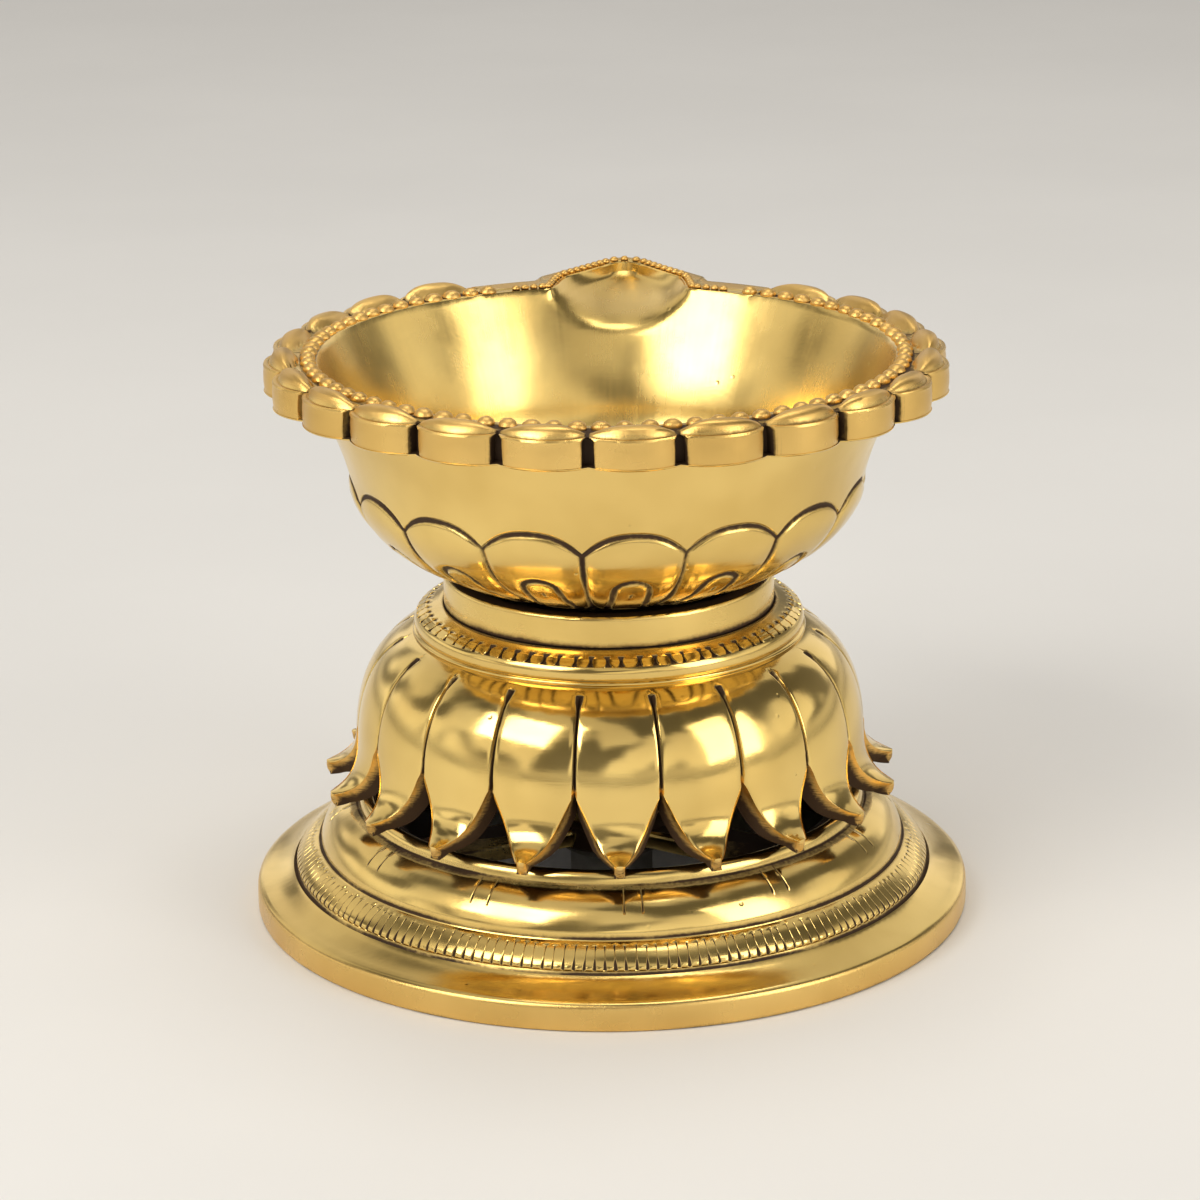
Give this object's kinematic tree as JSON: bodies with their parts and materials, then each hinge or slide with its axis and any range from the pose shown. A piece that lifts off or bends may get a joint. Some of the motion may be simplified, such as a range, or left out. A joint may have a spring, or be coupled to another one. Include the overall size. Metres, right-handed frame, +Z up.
{
  "type": "lotus diya",
  "caption": "Small cast brass oil lamp: a scalloped, beaded bowl with a wick spout, screwed on a rod to an openwork lotus-petal stand with a moulded round foot.",
  "frame": {"origin": "on the lamp's axis, in the plane that the foot stands on", "axes": "+Z up along the lamp's axis, +Y towards the wick spout, the front of the picture faces -Y"},
  "size_m": [0.1, 0.1064, 0.0803],
  "materials": {
    "cast_brass": "polished cast brass with dark patina in the chased lines and recesses",
    "bowl_brass": "polished cast brass, finely brushed inside the bowl",
    "turned_brass": "turned brass with pits along its lower edge",
    "fastener_steel": "zinc-plated steel"
  },
  "bodies": {
    "stand": {"foot": "cast_brass", "lotus_dome": "cast_brass", "neck_collar": "turned_brass", "spacer_tube": "turned_brass", "washer": "fastener_steel", "hex_nut": "fastener_steel"},
    "rod": {"tie_rod": "fastener_steel"},
    "bowl": {"oil_bowl": "bowl_brass"}
  },
  "joints": [
    {"name": "rod_rise", "type": "slide", "parent": "stand", "child": "rod", "axis": [0, 0, 1], "range_m": [0, 0.006]},
    {"name": "bowl_turn", "type": "hinge", "parent": "rod", "child": "bowl", "pos_m": [0, 0, 0.0465], "axis": [0, 0, 1], "range_deg": [0, 2160]}
  ],
  "couplings": [
    {"joint": "rod_rise", "follows": "bowl_turn", "m_per_rad": 0.00015915}
  ]
}
